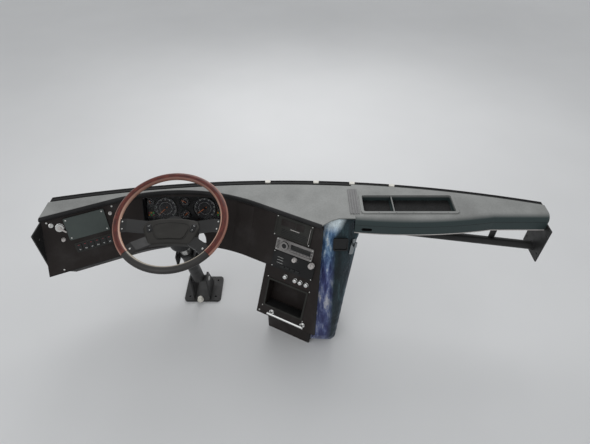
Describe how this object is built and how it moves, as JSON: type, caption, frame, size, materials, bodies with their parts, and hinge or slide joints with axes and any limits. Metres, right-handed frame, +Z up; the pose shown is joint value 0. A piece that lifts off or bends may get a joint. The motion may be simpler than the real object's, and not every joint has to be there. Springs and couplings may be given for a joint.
{
  "type": "touring coach dashboard with steering column",
  "caption": "Wrap-around coach dashboard with console, co-driver's shelf and a tilting, telescopic steering column.",
  "frame": {"origin": "middle of the column pedestal's bolt pattern on the driver's floor", "axes": "+X to the coach's right, +Y forward to the windscreen, +Z up"},
  "size_m": [2.308, 0.5741, 0.8824],
  "materials": {
    "black_soft": "soft grained moulding",
    "grey_top": "satin grained moulding",
    "dark_fascia": "fine grained moulding",
    "panel_grey": "satin moulding",
    "black_gloss": "polished",
    "dial_face": "printed dial faces",
    "clear_cover": "clear",
    "grey_green": "satin paint",
    "steel": "brushed",
    "light_grey": "satin",
    "chrome": "polished",
    "blue_plush": "crushed plush",
    "board": "painted board",
    "shelf_grey": "satin grained moulding",
    "rubber": "matt",
    "pale_plastic": "satin",
    "black_paint": "satin paint",
    "rim_wood": "varnished",
    "rim_black": "satin grip",
    "pad_grey": "soft grained moulding"
  },
  "bodies": {
    "dash": {"hood_roll": "black_soft", "dash_top": "grey_top", "fascia_shell": "dark_fascia", "cluster_pod": "black_soft", "gauge_rings": "black_gloss", "gauge_dials": "dial_face", "cluster_glass": "clear_cover", "left_panel": "grey_green", "key_locks": "steel", "left_knobs": "light_grey", "left_switches": "black_gloss", "upper_panel": "panel_grey", "radio_unit": "light_grey", "radio_knob": "black_gloss", "heater_panel": "black_soft", "heater_knobs": "light_grey", "knob_row": "steel", "console_shell": "dark_fascia", "console_bin": "dark_fascia", "bin_rail": "chrome", "console_foot": "black_paint", "flank_board": "board", "flank_pad": "blue_plush", "flank_pocket": "black_gloss", "flank_hook": "light_grey", "shelf_shell": "shelf_grey", "shelf_tray": "shelf_grey", "joint_strip": "rubber", "screen_strip": "rubber", "screen_clips": "pale_plastic", "cross_tube": "black_paint", "tube_stays": "black_paint", "left_bracket": "black_paint", "right_bracket": "black_paint", "knee_panel": "board", "column_yoke": "black_paint", "column_pedestal": "black_paint"},
    "column": {"column_jacket": "black_paint", "tilt_lever": "black_paint"},
    "upper_column": {"column_slider": "steel", "column_shroud": "black_soft", "column_stalks": "black_gloss"},
    "wheel": {"rim_wood": "rim_wood", "rim_grip": "rim_black", "wheel_spokes": "black_paint", "wheel_pad": "pad_grey", "steering_shaft": "steel"}
  },
  "joints": [
    {"name": "column_tilt", "type": "hinge", "parent": "dash", "child": "column", "pos_m": [0, -0.05197, 0.17], "axis": [1, 0, 0], "range_deg": [-5, 4]},
    {"name": "column_reach", "type": "slide", "parent": "column", "child": "upper_column", "axis": [0, -0.2924, 0.9563], "range_m": [-0.02, 0.06]},
    {"name": "steering", "type": "hinge", "parent": "upper_column", "child": "wheel", "pos_m": [0, -0.24458, 0.8], "axis": [0, -0.2924, 0.9563], "range_deg": [-900, 900]}
  ]
}
